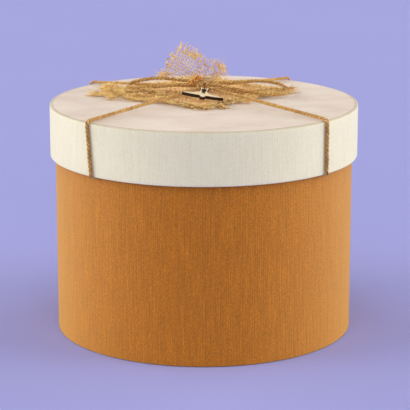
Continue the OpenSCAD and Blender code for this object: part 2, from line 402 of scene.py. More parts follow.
def ribbed_paper(name, groove, ridge, pale, speckle, speckle_strength, specular, sheen, tint, haze):
    """Embossed paper with upright ribs, with painted shade in the grooves and along the rounded edges. The
    attribute is arc length, height and groove depth.
    """
    graph = Graph(name, 0.62, specular=specular, sheen=sheen, sheen_tint=tint, sheen_roughness=haze)
    graph.shader.inputs["Specular Tint"].default_value = (*tint, 1)
    relief = graph.node("SeparateXYZ", {"Vector": graph.attribute("fibre", "Vector")})
    threads = graph.noise((2.2, 0.45, 1.0), 3.0, 0.65, "fibre")
    lines = graph.noise((0.8, 0.05, 1.0), 2.0, 0.5, "fibre")
    specks = graph.noise((0.95, 0.9, 1.0), 2.0, 0.6, "fibre")
    cloud = graph.noise((0.03, 0.02, 1.0), 3.0, 0.5, "fibre")
    tooth = graph.noise((1.0, 0.8, 1.0), 2.0, 0.7, "fibre")
    tone = graph.total((threads, 0.4), (lines, 0.25), (tooth, 0.35))
    # Painted shade: the tone is darker where the groove is deeper.
    tone = graph.math("SUBTRACT", tone, graph.math("MULTIPLY", relief.outputs[2], 0.12))
    colour = graph.ramp(tone, [(0.36, groove), (0.48, ridge), (0.6, pale)])
    spots = graph.ramp(specks, [(0.34, (1, 1, 1)), (0.43, (0, 0, 0))])
    colour = graph.mix(graph.math("MULTIPLY", spots, speckle_strength), colour, speckle)
    clouds = graph.ramp(cloud, [(0.35, (0.96, 0.96, 0.96)), (0.65, (1, 1, 1))])
    colour = graph.mix(1.0, colour, clouds, "MULTIPLY")
    # Painted shade: a darker band along the rounded edge, carried by the shade attribute.
    edge = graph.attribute("shade", "Fac")
    painted_edge_shade = graph.ramp(edge, [(0.1, (1, 1, 1)), (0.9, (0.8, 0.77, 0.74))])
    graph.colour(graph.mix(1.0, colour, painted_edge_shade, "MULTIPLY"))
    graph.roughness(threads, 0.36, 0.52)
    graph.bump((threads, 0.05), (specks, 0.05))
    return graph.material


def plain_paper(name, dark, base, light):
    """Uncoated paper: a cloudy mottle, short fibres and a fine tooth."""
    graph = Graph(name, 0.8, specular=0.2)
    cloud = graph.noise((0.02, 0.02, 0.02), 5.0, 0.62)
    fibres = graph.noise((0.9, 0.9, 0.9), 4.0, 0.7)
    tooth = graph.noise((3.5, 3.5, 3.5), 2.0, 0.5)
    tone = graph.total((cloud, 0.5), (fibres, 0.5))
    graph.colour(graph.ramp(tone, [(0.36, dark), (0.5, base), (0.64, light)]))
    graph.roughness(fibres, 0.7, 0.9)
    graph.bump((cloud, 0.12), (tooth, 0.03))
    return graph.material


def top_paper():
    """The pinkish disc on the lid: a faint cloudy mottle, and a painted shadow line along its cut edge."""
    graph = Graph("top_paper", 0.75, specular=0.2)
    cloud = graph.noise((0.03, 0.045, 0.04), 4.0, 0.6)
    fibres = graph.noise((0.8, 0.8, 0.8), 4.0, 0.7)
    tone = graph.total((cloud, 0.7), (fibres, 0.3))
    pink, paler, palest = srgb(216, 198, 184), srgb(226, 210, 196), srgb(232, 219, 206)
    colour = graph.ramp(tone, [(0.36, pink), (0.5, paler), (0.64, palest)])
    reach = graph.node("VectorMath", {0: graph.place((1, 1, 0))}, operation="LENGTH").outputs["Value"]
    share = graph.math("DIVIDE", reach, float(TOP_PAPER_RADIUS))
    # Painted shadow: a darker line just inside the disc's cut edge.
    painted_edge_shadow = graph.ramp(share, [(0.987, (1, 1, 1)), (0.993, (0.8, 0.77, 0.75)), (0.999, (0.6, 0.56, 0.53))])
    graph.colour(graph.mix(1.0, colour, painted_edge_shadow, "MULTIPLY"))
    graph.roughness(fibres, 0.65, 0.85)
    graph.bump((cloud, 0.15), (fibres, 0.03))
    return graph.material


def greyboard():
    """Grey-brown board of short pulp fibres in pressed layers."""
    graph = Graph("greyboard", 0.95, specular=0.15)
    layers = graph.noise((0.2, 0.2, 3.0), 3.0, 0.6)
    pulp = graph.noise((1.5, 1.5, 1.5), 4.0, 0.7)
    tone = graph.total((layers, 0.4), (pulp, 0.6))
    dark, middle, light = srgb(122, 110, 94), srgb(160, 147, 128), srgb(186, 174, 154)
    graph.colour(graph.ramp(tone, [(0.35, dark), (0.5, middle), (0.65, light)]))
    graph.bump((pulp, 0.08))
    return graph.material


def plywood():
    """A pale ply face with fine grain, and charred edges. The attribute is x, y and char."""
    graph = Graph("plywood", 0.55, specular=0.4)
    parts = graph.node("SeparateXYZ", {"Vector": graph.attribute("fibre", "Vector")})
    grain = graph.noise((0.25, 5.0, 0.0), 4.0, 0.65, "fibre")
    wave = graph.noise((0.5, 0.5, 0.0), 2.0, 0.5, "fibre")
    dark, middle, light = srgb(196, 158, 110), srgb(233, 209, 170), srgb(247, 232, 204)
    face = graph.ramp(grain, [(0.3, dark), (0.5, middle), (0.7, light)])
    burnt = graph.ramp(grain, [(0.3, srgb(24, 13, 8)), (0.7, srgb(62, 36, 20))])
    uneven = graph.math("MULTIPLY", graph.math("SUBTRACT", wave, 0.5), 0.35)
    char = graph.math("ADD", parts.outputs[2], uneven)
    edge = graph.ramp(char, [(0.35, (0, 0, 0)), (0.62, (1, 1, 1))])
    graph.colour(graph.mix(edge, face, burnt))
    graph.roughness(grain, 0.45, 0.7)
    graph.bump((grain, 0.05))
    return graph.material


TWINE = jute_material("jute_twine", srgb(134, 88, 34), srgb(206, 158, 88), srgb(244, 206, 136))
# A brighter, more orange copy of the twine for the knot's crown: a painted highlight on its lit top.
KNOT_TWINE_PAINTED_HIGHLIGHT = jute_material("jute_knot_painted_highlight", srgb(160, 92, 28), srgb(226, 150, 62), srgb(248, 194, 108))
TWINE_FIBRES = jute_material("jute_fibre", srgb(168, 116, 52), srgb(216, 168, 96), srgb(240, 204, 138))
BURLAP = jute_material("burlap", srgb(196, 130, 64), srgb(250, 200, 130), srgb(255, 234, 180), 6.0)
# A paler copy of the burlap for the standing crest: painted light for the thin cloth glowing against the
# light.
CREST_BURLAP_PAINTED_LIGHT = jute_material(
    "crest", srgb(236, 186, 126), srgb(254, 224, 178), srgb(255, 240, 212), 6.0, light_painted_shade=True)
FRINGE = jute_material(
    "burlap_fringe", srgb(160, 90, 20), srgb(255, 210, 122), srgb(255, 244, 188), 6.0, 0.09, light_painted_shade=True)
THREAD = jute_material("thread", srgb(70, 42, 20), srgb(112, 72, 38), srgb(150, 104, 60), 9.0)
ORANGE_PAPER = ribbed_paper(
    "orange_paper", groove=srgb(124, 50, 1), ridge=srgb(168, 81, 2), pale=srgb(203, 116, 6),
    speckle=srgb(86, 33, 1), speckle_strength=0.75, specular=1.0, sheen=1.0,
    tint=(1.0, 0.58, 0.13), haze=0.7)
CREAM_PAPER = ribbed_paper(
    "cream_paper", groove=srgb(227, 219, 182), ridge=srgb(235, 228, 194), pale=srgb(239, 233, 202),
    speckle=srgb(221, 212, 174), speckle_strength=0.35, specular=0.15, sheen=0.1,
    tint=(1.0, 1.0, 0.9), haze=0.35)
TOP_PAPER = top_paper()
LINING_PAPER = plain_paper("lining_paper", srgb(208, 196, 172), srgb(228, 218, 198), srgb(240, 232, 216))
FOOT_PAPER = plain_paper("foot_paper", srgb(160, 132, 96), srgb(188, 160, 122), srgb(208, 182, 146))
GREYBOARD = greyboard()
PLYWOOD = plywood()


# ---------------- camera
def add_camera():
    """A long lens that looks a little down at the box, fitted to the photo."""
    data = bpy.data.cameras.new("camera")
    data.sensor_width = 36
    data.lens = 167.8
    data.shift_x = 0.0028
    data.shift_y = 0.0194
    data.clip_start = 0.05
    camera = bpy.data.objects.new("camera", data)
    camera.location = (0, -1.26528, 0.39432)
    camera.rotation_euler = (math.radians(90 - 14.07), 0, 0)
    bpy.context.scene.collection.objects.link(camera)
    bpy.context.scene.camera = camera


# ---------------- twine
PLIES = 3
TWINE_LAY = 8.5
PLY_OFFSET = 0.66
PLY_RADIUS = 0.6
TWINE_STEP = 0.45
KNOT_STEP = 0.4
# Half the thickness of the twine where it is pressed flat inside the lid
FLAT_HALF = 0.35


def twine_parts(path, first, seed, thick=1.0, wide=1.0):
    """Three plies laid round a centreline. thick and wide flatten it along and across the normal."""
    rng = np.random.default_rng(seed)
    steps = len(path)
    _, sides, normals = carried_frames(path, first)
    distance = run_length(path)
    thick = np.broadcast_to(thick, steps)[:, None]
    wide = np.broadcast_to(wide, steps)[:, None]
    uneven = smooth_noise(rng, PLIES, steps, max(4, int(distance[-1] / 5)))
    outward = []
    for ply in range(PLIES):
        turn = 2 * math.pi * (distance / TWINE_LAY + ply / PLIES) + 0.25 * uneven[ply]
        outward.append(np.cos(turn)[:, None] * wide * sides + np.sin(turn)[:, None] * thick * normals)
    outward = np.array(outward)
    radius = PLY_RADIUS * (1 + 0.13 * uneven)
    plies = path + PLY_OFFSET * outward
    # The shade attribute darkens each ply on its side towards the twine's core: painted shade in the grooves
    # between plies.
    return tubes(plies, unit(outward), radius, radius * thick[:, 0], 9, seed, -1.6, 0.55, 0.45)


def hairs(path, seed, per_mm, low_z=None):
    """Loose fibres that stand off a twine, none of them below low_z."""
    rng = np.random.default_rng(seed)
    tangents, sides, normals = carried_frames(path, unit(np.array([0.3, 0.2, 1.0])))
    count = max(4, int(run_length(path)[-1] * per_mm))
    at = rng.integers(1, len(path) - 1, count)
    turn = rng.uniform(0, 2 * math.pi, count)[:, None]
    out = np.cos(turn) * sides[at] + np.sin(turn) * normals[at]
    along = tangents[at] * rng.choice([-1, 1], count)[:, None]
    size = rng.uniform(0.8, 3.4, count)[:, None]
    lift = rng.uniform(0.15, 0.75, count)[:, None]
    curl = rng.normal(0, 0.35, (count, 3))
    t = np.linspace(0, 1, 6)[:, None, None]
    straight = t * (along * (1 - 0.4 * lift) + out * lift * 0.6)
    bent = t ** 2 * curl + 0.12 * np.sin(9 * t) * curl[:, ::-1]
    line = np.swapaxes(path[at] + 0.95 * TWINE_RADIUS * out + size * (straight + bent), 0, 1)
    if low_z is not None:
        line[..., 2] = np.maximum(line[..., 2], low_z)
    radius = np.linspace(0.05, 0.02, 6)[None]
    return tubes(line, [0.2, 0.3, 0.9], radius, radius, 3, seed)


def frayed_end(path, seed, low_z):
    """The fibres that open out at a cut end of the twine."""
    rng = np.random.default_rng(seed)
    count = 46
    direction = unit(path[-1] - path[-6])
    spread = rng.normal(0, 0.26, (count, 3)) + direction
    base = path[-3] + rng.normal(0, 0.45, (count, 3))
    size = rng.uniform(3, 7.5, count)[:, None]
    bend = rng.normal(0, 0.22, (count, 3))
    t = np.linspace(0, 1, 7)[:, None, None]
    line = np.swapaxes(base + size * (t * spread + t ** 2 * bend), 0, 1)
    line[..., 2] = np.maximum(line[..., 2], low_z)
    radius = np.linspace(1, 0.3, 7)[None] * rng.uniform(0.06, 0.14, (count, 1))
    return tubes(line, [0.1, 0.2, 1.0], radius, radius, 4, seed)


def add_bow():
    """The two loops and two tails of the bow, each a cord of its own."""
    low_z = TOP_Z + 0.15
    ends = {
        "bow_loop_right": ([1, 9.2, 9.2], [1, 10.6, 9.4]),
        "bow_loop_left": ([-1, 10.6, 9.4], [-1, 9.2, 9.2]),
    }
    for number, (name, route) in enumerate(BOW.items()):
        loop = name in ends
        if loop:
            route = [ends[name][0], *route, ends[name][1]]
        path = even_path(np.array(route) + ON_LID, TWINE_STEP, 2.6)
        twine = twine_parts(path, [0, 0, 1], 20 + number)
        cord = add_soft(name + "_twine", [twine], TWINE, "jute_twine", name)
        fluff = [hairs(path, 40 + number, 2.4, low_z)]
        if not loop:
            fluff.append(frayed_end(path, 60 + number, low_z))
        fibres = add_soft(name + "_fibres", fluff, TWINE_FIBRES, "jute_twine")


def polar(angle, radius, height):
    """A point at an angle in degrees round the box's axis."""
    angle = math.radians(angle)
    return np.array([radius * math.cos(angle), radius * math.sin(angle), height])


def strand_route(top_angle, low_angle):
    """From the knot straight to the lid's edge, round it, down the side, under the rim and up inside."""
    outer = LID_RADIUS + TWINE_GAP + TWINE_RADIUS
    bend = EDGE_ROUND + TWINE_GAP + TWINE_RADIUS
    corner = LID_RADIUS - EDGE_ROUND
    edge_z = TOP_Z - EDGE_ROUND
    rim_z = RIM_Z + EDGE_ROUND
    inner = LID_RADIUS - WALL - TWINE_GAP - FLAT_HALF
    knot = np.array([KNOT[0], KNOT[1], TOP_Z + STRAND_HEIGHT])
    edge = polar(top_angle, corner, edge_z + bend)
    turn = [polar(top_angle, corner + bend * math.cos(a), edge_z + bend * math.sin(a))
            for a in np.radians([90, 60, 30, 0])]
    return np.array([
        knot + STRAND_START * unit(edge - knot), *turn, polar(low_angle, outer, rim_z),
        polar(low_angle, corner + 1.27, rim_z - 1.27), polar(low_angle, corner, RIM_Z - 0.65),
        polar(low_angle, inner, RIM_Z - 0.1), polar(low_angle, inner, RIM_Z + 10),
    ])


def add_strands():
    """The four arms of the cross. Each is pressed flat where it goes round the rim."""
    for number, (name, angles) in enumerate(STRANDS.items()):
        path = even_path(strand_route(*angles), TWINE_STEP, 0.6)
        radial = np.linalg.norm(path[:, :2], axis=1)
        side = np.clip((RIM_Z + 3 - path[:, 2]) / 3.5, 0, 1)
        inside = np.clip((LID_RADIUS - 1 - radial) / 1.2, 0, 1) * (path[:, 2] < RIM_Z + 11)
        flat = smooth_step(np.maximum(side, inside))
        size = 0.8 if "back" in name else 1.0
        twine = twine_parts(path, [0, 0, 1], 80 + number, size * (1 - 0.72 * flat), size * (1 + 0.9 * flat))
        add_soft(name + "_twine", [twine], TWINE, "jute_twine", name)
        free = path[path[:, 2] > RIM_Z + 2]
        add_soft(name + "_fibres", [hairs(free, 90 + number, 2.0)], TWINE_FIBRES, "jute_twine")


def add_knot():
    """Upright turns over the bow's heart, a level turn round the crossing under it, and a crown."""
    a = np.linspace(0.2, 2 * math.pi * 2.35, 120)
    upright = np.stack([-4.4 + 4.2 * a / a[-1] + 0.3 * np.sin(a), 3.3 * np.cos(a), 2.2 * np.sin(a)], axis=1)
    b = np.linspace(0.4, 2 * math.pi * 1.05, 70)
    level = np.stack([3.0 * np.cos(b), 2.9 * np.sin(b), -1.75 + 0.35 * np.sin(b)], axis=1)
    heart = np.stack([np.linspace(-2.6, 2.6, 14), np.full(14, 0.3), np.full(14, 0.2)], axis=1)
    crown = np.array([
        (-8.2, -0.8, 0.4), (-7.2, -1.6, 3.6), (-5.4, -2.0, 5.8),
        (-3.6, -1.6, 6.2), (-2.2, 0, 4.8), (-1.4, 2, 2.6),
    ])
    first = [0.9, 0.1, 0.4]
    path = even_path(crown + KNOT, KNOT_STEP, 0.5)
    # The crown takes the brighter twine: a painted highlight on the knot's top.
    add_soft("knot_crown", [twine_parts(path, first, 114, 1.25, 1.25)], KNOT_TWINE_PAINTED_HIGHLIGHT, "jute_twine")
    parts, fluff = [], [hairs(path, 124, 2.6)]
    for number, line in enumerate((upright, level, heart)):
        path = even_path(line + KNOT, KNOT_STEP, 0.5)
        parts.append(twine_parts(path, first, 110 + number, 1.12, 1.12))
        fluff.append(hairs(path, 120 + number, 2.6))
    add_soft("knot", parts, TWINE, "jute_twine", "twine_knot")
    add_soft("knot_fibres", fluff, TWINE_FIBRES, "jute_twine")


# ---------------- burlap
# Soft folds of the patch: height, place in x and y, two widths and a turn
FOLDS = [
    (2.3, -42, 14, 17, 3.0, 0.15), (2.0, -30, -2, 15, 2.6, -0.55), (1.6, -48, 24, 12, 2.8, -0.1),
    (1.5, -22, 24, 15, 3.2, 0.5), (1.6, 22, 3, 13, 3.0, 0.6), (1.3, 38, 16, 11, 2.6, 0.5),
    (1.7, 26, 34, 13, 3.0, 0.2), (2.0, -4, 52, 6, 22, 0.1), (1.4, 17, 54, 5, 16, 0.4),
    (0.9, -8, -18, 5, 12, 0.5), (0.7, 10, -20, 4, 12, -0.4),
]
# Bunches of loose yarns: place above the lid, direction, count, length, seed, half thickness and spread
PATCH_WISPS = [
    ((-68, 20, 1.5), (-1, -0.12, 0.0), 34, 13, 280, 0.42, 0.22),
    ((-62, 32, 2.0), (-1, 0.45, 0.05), 26, 13, 281, 0.42, 0.25),
    ((56, 30, 1.2), (1, -0.05, 0.05), 22, 9, 282, 0.36, 0.3),
    ((27, -8, 1.5), (1, -0.3, 0.3), 30, 6, 283, 0.42, 0.6),
    ((2, -23, 1), (0, -1, 0), 46, 14, 286, 0.46, 0.55),
    ((-8, -20, 1), (-0.3, -1, 0), 30, 11, 287, 0.46, 0.4),
    ((10, -20, 1), (0.3, -1, 0), 30, 11, 288, 0.46, 0.4),
    ((-47, 2, 2.2), (-1, -0.6, 0.2), 30, 9, 284, 0.42, 0.5),
    ((-60, 8, 1.6), (-1, -0.5, 0.1), 26, 9, 289, 0.42, 0.5),
    ((-57, 30, 3.2), (-1, -0.2, 0.1), 30, 9, 285, 0.42, 0.5),
]
CREST_WISPS = [
    ((12, CREST_Y + 2, 22), (0.3, -0.1, -1), 40, 9.5, 350, 0.3, 0.13),
    ((-3, CREST_Y + 0.4, 12.2), (-0.25, 0.08, 1), 26, 9, 353, 0.2, 0.45),
    ((9, CREST_Y + 0.6, 12.2), (0.2, 0.08, 1), 26, 9, 354, 0.2, 0.45),
    ((9, CREST_Y + 2, 22), (0.2, 0, 1), 14, 5, 351, 0.25, 0.3),
    ((-24, CREST_Y + 4, 15), (-1, 0.2, -0.1), 30, 11, 352, 0.3, 0.25),
]


def bump_at(x, y, centre_x, centre_y, width_x, width_y, turn=0.0):
    """A smooth hill of height 1 with its own widths and turn."""
    dx, dy = turned(x - centre_x, y - centre_y, -turn)
    return np.exp(-((dx / width_x) ** 2 + (dy / width_y) ** 2))


def clear_of_tails(x, y):
    """1 away from the bow's tails, which lie on the cloth, and 0 right under them."""
    nearest = np.full(np.shape(x), 1e9)
    for name in ("bow_tail_right", "bow_tail_left"):
        for px, py, height in even_path(BOW[name], 3.0, 2.0):
            if height < 4.2:
                nearest = np.minimum(nearest, np.hypot(x - px, y - py))
    return np.clip((nearest - 2.0) / 4.0, 0, 1)


def cloth_height(x, y):
    """How high the burlap stands off the lid: it is drawn up to the knot and lies in soft folds."""
    height = 3.4 * bump_at(x, y, 0, 13, 13, 10) * (0.35 + 0.65 * np.clip((y - 3) / 6, 0, 1))
    for fold, *place in FOLDS:
        height = height + fold * bump_at(x, y, *place)
    ripple = 0.25 + 0.25 * np.sin(0.31 * x + 0.17 * y) * np.sin(0.23 * y - 0.12 * x + 1)
    return (height + ripple) * clear_of_tails(x, y)


def patch_place(u, v):
    """Where the patch lies: drawn in on the left, its corner there pulled forward, and wavering."""
    x, y = turned(u, v, PATCH_TURN)
    x, y = PATCH_CENTRE[0] + x, PATCH_CENTRE[1] + y
    drawn = np.maximum(0, -18 - x)
    x, y = x - 0.2 * drawn, y - 0.07 * drawn
    y = y - 7 * np.exp(-((x + 50) / 14) ** 2) * np.clip((18 - y) / 14, 0, 1)
    x = x + 0.7 * np.sin(0.11 * y + 0.4) + 0.35 * np.sin(0.27 * y + 0.08 * x)
    y = y + 0.6 * np.sin(0.12 * x + 1.1) + 0.35 * np.sin(0.25 * x - 0.1 * y)
    return x, y, CLOTH_Z + cloth_height(x, y)


def fold_place(u, v):
    """The part of the patch that is folded back over itself, left of the knot."""
    x, y = turned(u, v, FOLD_TURN)
    x = FOLD_CENTRE[0] + x + 0.8 * np.sin(0.2 * v + 0.1 * u)
    y = FOLD_CENTRE[1] + y + 0.9 * np.sin(0.17 * u + 0.5)
    curl = 0.5 + 0.5 * np.sin(0.33 * u + 0.8) * np.cos(0.2 * v)
    return x, y, CLOTH_Z + FOLD_LIFT + cloth_height(x, y) + 0.35 * curl


def crest_place(u, v):
    """The standing corner: u runs down its upper edge and v down its left edge."""
    x, z = turned(u, -v, CREST_EDGE_ANGLE)
    x, z = CREST_APEX[0] + x, CREST_APEX[1] + z
    reach = np.hypot(x, z - NECK_TOP)
    pleat = 1.5 * np.sin(7 * np.arctan2(z - NECK_TOP, x)) * np.exp(-((reach - 5) / 15) ** 2)
    wave = 0.9 * np.sin(0.16 * x + 0.1 * z) + 0.4 * np.sin(0.4 * x - 0.25 * z + 1)
    curl = 0.006 * np.maximum(0, z - 24) ** 2
    return x, CREST_Y + (z - 8) * math.tan(CREST_LEAN) + pleat + wave + curl, TOP_Z + z


def crest_limit(direction, at):
    """How far a yarn of the crest runs before it reaches the fold at its foot or its right edge."""
    cosine, sine = math.cos(CREST_EDGE_ANGLE), -math.sin(CREST_EDGE_ANGLE)
    room = CREST_APEX[1] - NECK_TOP
    if direction == 0:
        return np.minimum((room - cosine * at) / sine, CREST_U[1])
    return (room - sine * at) / cosine


def neck_place(u, v):
    """The gathered cloth between the crest and the knot: u across its pleats and v down."""
    down = smooth_step(np.clip(v / 11, 0, 1))
    x = (6.5 - 4.0 * down) * np.sin(0.6 * u) + 0.4 * np.sin(1.9 * u)
    y = CREST_Y + 0.9 + 1.2 * np.cos(1.31 * u) - 3.4 * down
    return x, y, TOP_Z + NECK_TOP + 0.9 - v


def cloth_area(place, u_range, v_range, limit=None):
    """Square millimetres of cloth over a plan rectangle, or over the part of it inside the limit."""
    cell = 0.25
    u, v = np.meshgrid(np.arange(*u_range, cell), np.arange(*v_range, cell), indexing="ij")
    du = np.stack(place(u + cell, v), -1) - np.stack(place(u, v), -1)
    dv = np.stack(place(u, v + cell), -1) - np.stack(place(u, v), -1)
    cells = np.linalg.norm(np.cross(du, dv), axis=-1)
    return cells.sum() if limit is None else cells[v < limit(1, u)].sum()


def cloth_normals(place, u, v):
    """The cloth's unit normal at plan coordinates."""
    step = 0.05
    du = np.stack(place(u + step, v), -1) - np.stack(place(u - step, v), -1)
    dv = np.stack(place(u, v + step), -1) - np.stack(place(u, v - step), -1)
    return unit(np.cross(du, dv))


def raised_yarns(place, u, v, rise, radius, seed):
    """Yarns along plan coordinates, that far off the cloth."""
    normals = cloth_normals(place, u, v)
    paths = np.stack(place(u, v), -1) + rise[..., None] * normals
    return tubes(paths, normals, radius, radius * 0.8, 5, seed, twist=2.0)


def weave(place, u_range, v_range, pitch, wide, thick, step, seed, limit=None):
    """A plain weave over plan coordinates, its yarns uneven in size and place.

    limit(direction, at) ends each yarn short of the far side of the rectangle."""
    rng = np.random.default_rng(seed)
    parts = []
    for direction in (0, 1):
        (start, end), across_range = (u_range, v_range) if direction == 0 else (v_range, u_range)
        at = np.arange(across_range[0], across_range[1] + 1e-6, pitch)
        ends = limit(direction, at) if limit else np.full(len(at), end)
        long_enough = ends > start + 3
        at, ends = at[long_enough], ends[long_enough]
        count = len(at)
        steps = int((end - start) / step) + 1
        along = start + (ends - start)[:, None] * np.linspace(0, 1, steps)
        wander = 0.16 * smooth_noise(rng, count, steps, 14) + 0.07 * smooth_noise(rng, count, steps, 60)
        across = at[:, None] + pitch * wander + rng.normal(0, 0.04 * pitch, (count, 1))
        u, v = (along, across) if direction == 0 else (across, along)
        normals = cloth_normals(place, u, v)
        over = np.cos(math.pi * ((along - start) / pitch + np.arange(count)[:, None] + direction))
        paths = np.stack(place(u, v), -1) + (0.95 * thick * over)[..., None] * normals
        size = 1 + 0.16 * smooth_noise(rng, count, steps, 22) + rng.normal(0, 0.1, (count, 1))
        size = np.clip(size, 0.6, 1.5)
        # Painted shade: a yarn is darker where it dips under the crossing yarn.
        shade = 0.66 + 0.2 * over
        first = seed + 1 + direction
        parts.append(tubes(paths, normals, wide * size, thick * size ** 0.5, 6, first, 1.2, shade, 0.2))
    return joined(parts)


def fringe_side(place, side, pitch, length, seed, thick, tufts, lift, kept=1.0, curly=1.0):
    """Yarn ends frayed past one side of the weave.

    A side is start(t), the plan point at distance t along it, the plan direction off it, and its span."""
    start, outward, span = side
    rng = np.random.default_rng(seed)
    ends = np.repeat(np.arange(span[0], span[1] + 1e-6, pitch), tufts)
    ends = ends[rng.uniform(0, 1, len(ends)) < kept]
    count = len(ends)
    t = np.linspace(0, 1, 9)[None]
    size = rng.uniform(0.45, 1.15, (count, 1)) * length
    drift = rng.normal(0, 0.22, (count, 1)) * length
    curl = curly * rng.uniform(0.1, 0.55, (count, 1))
    phase = rng.uniform(0, 6.28, (count, 1))
    wave = curl * np.sin(rng.uniform(3, 9, (count, 1)) * t + phase) * t
    sideways = drift * t ** 1.5 + 1.2 * wave
    reach = size * t + 0.25 * wave - 0.6
    u, v = start(ends[:, None] + rng.normal(0, 0.2 * pitch, (count, 1)) + sideways)
    rise = lift * (rng.uniform(-0.1, 0.9, (count, 1)) * t + 0.4 * wave)
    radius = thick * rng.uniform(0.5, 1.1, (count, 1)) * (1 - 0.6 * t)
    return raised_yarns(place, u + outward[0] * reach, v + outward[1] * reach, rise, radius, seed)


def loose_yarns(place, side, distances, seed, thick, lift):
    """Cross yarns left wandering in the fringe, parallel to the side, three at each distance off it."""
    start, outward, (low, high) = side
    rng = np.random.default_rng(seed)
    count, steps = 3, 90
    t = np.linspace(0, 1, steps)[None]
    parts = []
    for number, distance in enumerate(distances):
        ends = np.sort(rng.uniform(low - 2, high + 2, 2 * count).reshape(count, 2), axis=1)
        base = ends[:, :1] + (ends[:, 1:] - ends[:, :1]) * t
        u, v = start(base + 0.7 * smooth_noise(rng, count, steps, 30))
        off = distance + 1.1 * smooth_noise(rng, count, steps, 20)
        off += 0.5 * smooth_noise(rng, count, steps, 45)
        rise = lift * (0.6 + 0.6 * smooth_noise(rng, count, steps, 24))
        radius = thick * (0.8 + 0.25 * smooth_noise(rng, count, steps, 20))
        u, v = u + outward[0] * off, v + outward[1] * off
        parts.append(raised_yarns(place, u, v, rise, radius, seed + number))
    return parts


def wisps(base, direction, count, length, seed, thick, spread):
    """A bunch of long loose yarns from about one place, in one general direction."""
    rng = np.random.default_rng(seed)
    t = np.linspace(0, 1, 14)[None, :, None]
    heading = unit(np.array(direction, float)) + rng.normal(0, spread, (count, 3)) * [1, 1, 0.5]
    size = rng.uniform(0.4, 1.0, (count, 1, 1)) * length
    bend = rng.normal(0, 0.16, (count, 1, 3))
    wiggle = 0.05 * np.sin(rng.uniform(4, 11, (count, 1, 1)) * t + rng.uniform(0, 6, (count, 1, 3)))
    origin = base + ON_LID + rng.normal(0, 1, (count, 1, 3)) * [1.6, 1.6, 0.5]
    line = origin + size * (unit(heading)[:, None] * t + bend * t ** 2 + wiggle * t)
    radius = thick * rng.uniform(0.35, 1.0, (count, 1)) * (1 - 0.55 * t[..., 0])
    return tubes(line, [0.1, 0.2, 1.0], radius, radius * 0.85, 5, seed, 2.0)


def rectangle_sides(u_range, v_range):
    """The four sides of a rectangle: plan point at a distance along each, direction off it, and extent."""
    (u0, u1), (v0, v1) = u_range, v_range
    return [
        (lambda t: (t, v0 + 0 * t), (0, -1), u_range), (lambda t: (t, v1 + 0 * t), (0, 1), u_range),
        (lambda t: (u0 + 0 * t, t), (-1, 0), v_range), (lambda t: (u1 + 0 * t, t), (1, 0), v_range),
    ]


def fluffy_fringe(place, sides, length, thick, seed):
    """Frayed sides: thick yarn ends, fine split ends above them and cross yarns that wander."""
    parts = []
    for number, (start, outward, span) in enumerate(sides):
        first = seed + 20 * number
        side = (start, outward, (span[0] - 0.4 * length, span[1] + 0.4 * length))
        parts += [
            fringe_side(place, side, YARN_PITCH, length, first, thick, 2, 2.0),
            fringe_side(place, side, YARN_PITCH, 0.7 * length, first + 1, thick, 2, 4.0),
            fringe_side(place, side, YARN_PITCH, 1.1 * length, first + 2, 0.12, 4, 4.0),
            *loose_yarns(place, side, (0.8, 2.4, 4.2, 5.8), first + 3, 0.85 * thick, 2.2),
        ]
    return parts


def add_patch():
    """The square laid on the lid, frayed all round, with a part folded back over itself."""
    half = PATCH_SIDE / 2 - PATCH_FRINGE
    span = (-half, half)
    cloth = add_soft("burlap_cloth", [
        weave(patch_place, span, span, YARN_PITCH, 0.6, 0.3, 0.62, 200),
        weave(fold_place, FOLD_U, FOLD_V, YARN_PITCH, 0.6, 0.3, 0.62, 205),
    ], BURLAP, "burlap", "burlap_patch")
    parts = fluffy_fringe(patch_place, rectangle_sides(span, span), PATCH_FRINGE, 0.46, 220)
    parts += fluffy_fringe(fold_place, rectangle_sides(FOLD_U, FOLD_V)[0::2], 5.5, 0.44, 520)
    parts += [wisps(*bunch) for bunch in PATCH_WISPS]
    points, faces, fibre = joined(parts)
    # The fringe stays on the lid, and low enough round the charm to leave it in view
    from_charm = np.hypot(points[:, 0] / 1.4, points[:, 1] + 9)
    high_z = TOP_Z + 1.9 + 0.4 * np.maximum(0, from_charm - 13)
    points[:, 2] = np.clip(points[:, 2], TOP_Z + 0.08, high_z)
    fringe = mount(build_mesh("burlap_fringe", points, faces, FRINGE, fibre), "lid", "burlap")


def add_crest():
    """The corner of cloth gathered under the knot that stands up behind it, frayed along its edges."""
    cloth = add_soft("crest_cloth", [
        weave(crest_place, CREST_U, CREST_V, CREST_PITCH, 0.36, 0.22, 0.45, 300, crest_limit),
        weave(neck_place, NECK_U, NECK_V, CREST_PITCH, 0.4, 0.24, 0.5, 305),
    ], CREST_BURLAP_PAINTED_LIGHT, "burlap", "burlap_crest")
    top, _, left, _ = rectangle_sides((CREST_U[0], 33.0), CREST_V)
    parts = []
    for seed, side, length in ((320, top, 7.5), (330, left, 4.0)):
        parts += [
            fringe_side(crest_place, side, CREST_PITCH, length, seed, 0.3, 1, 1.0, 0.8),
            fringe_side(crest_place, side, CREST_PITCH, length, seed + 1, 0.1, 3, 1.5),
            fringe_side(crest_place, side, 2 * CREST_PITCH, length, seed + 5, 0.52, 2, 1.0, 0.9, 0.8),
            *loose_yarns(crest_place, side, (1.4, 3.6), seed + 2, 0.26, 0.4),
        ]
    parts += [wisps(*bunch) for bunch in CREST_WISPS]
    fringe = add_soft("crest_fringe", parts, FRINGE, "burlap")
    area = cloth_area(crest_place, CREST_U, CREST_V, crest_limit) + cloth_area(neck_place, NECK_U, NECK_V)


# ---------------- ribbed covering papers
RIB_WIDTH = 1.3
GROOVE_DEPTH = 0.14
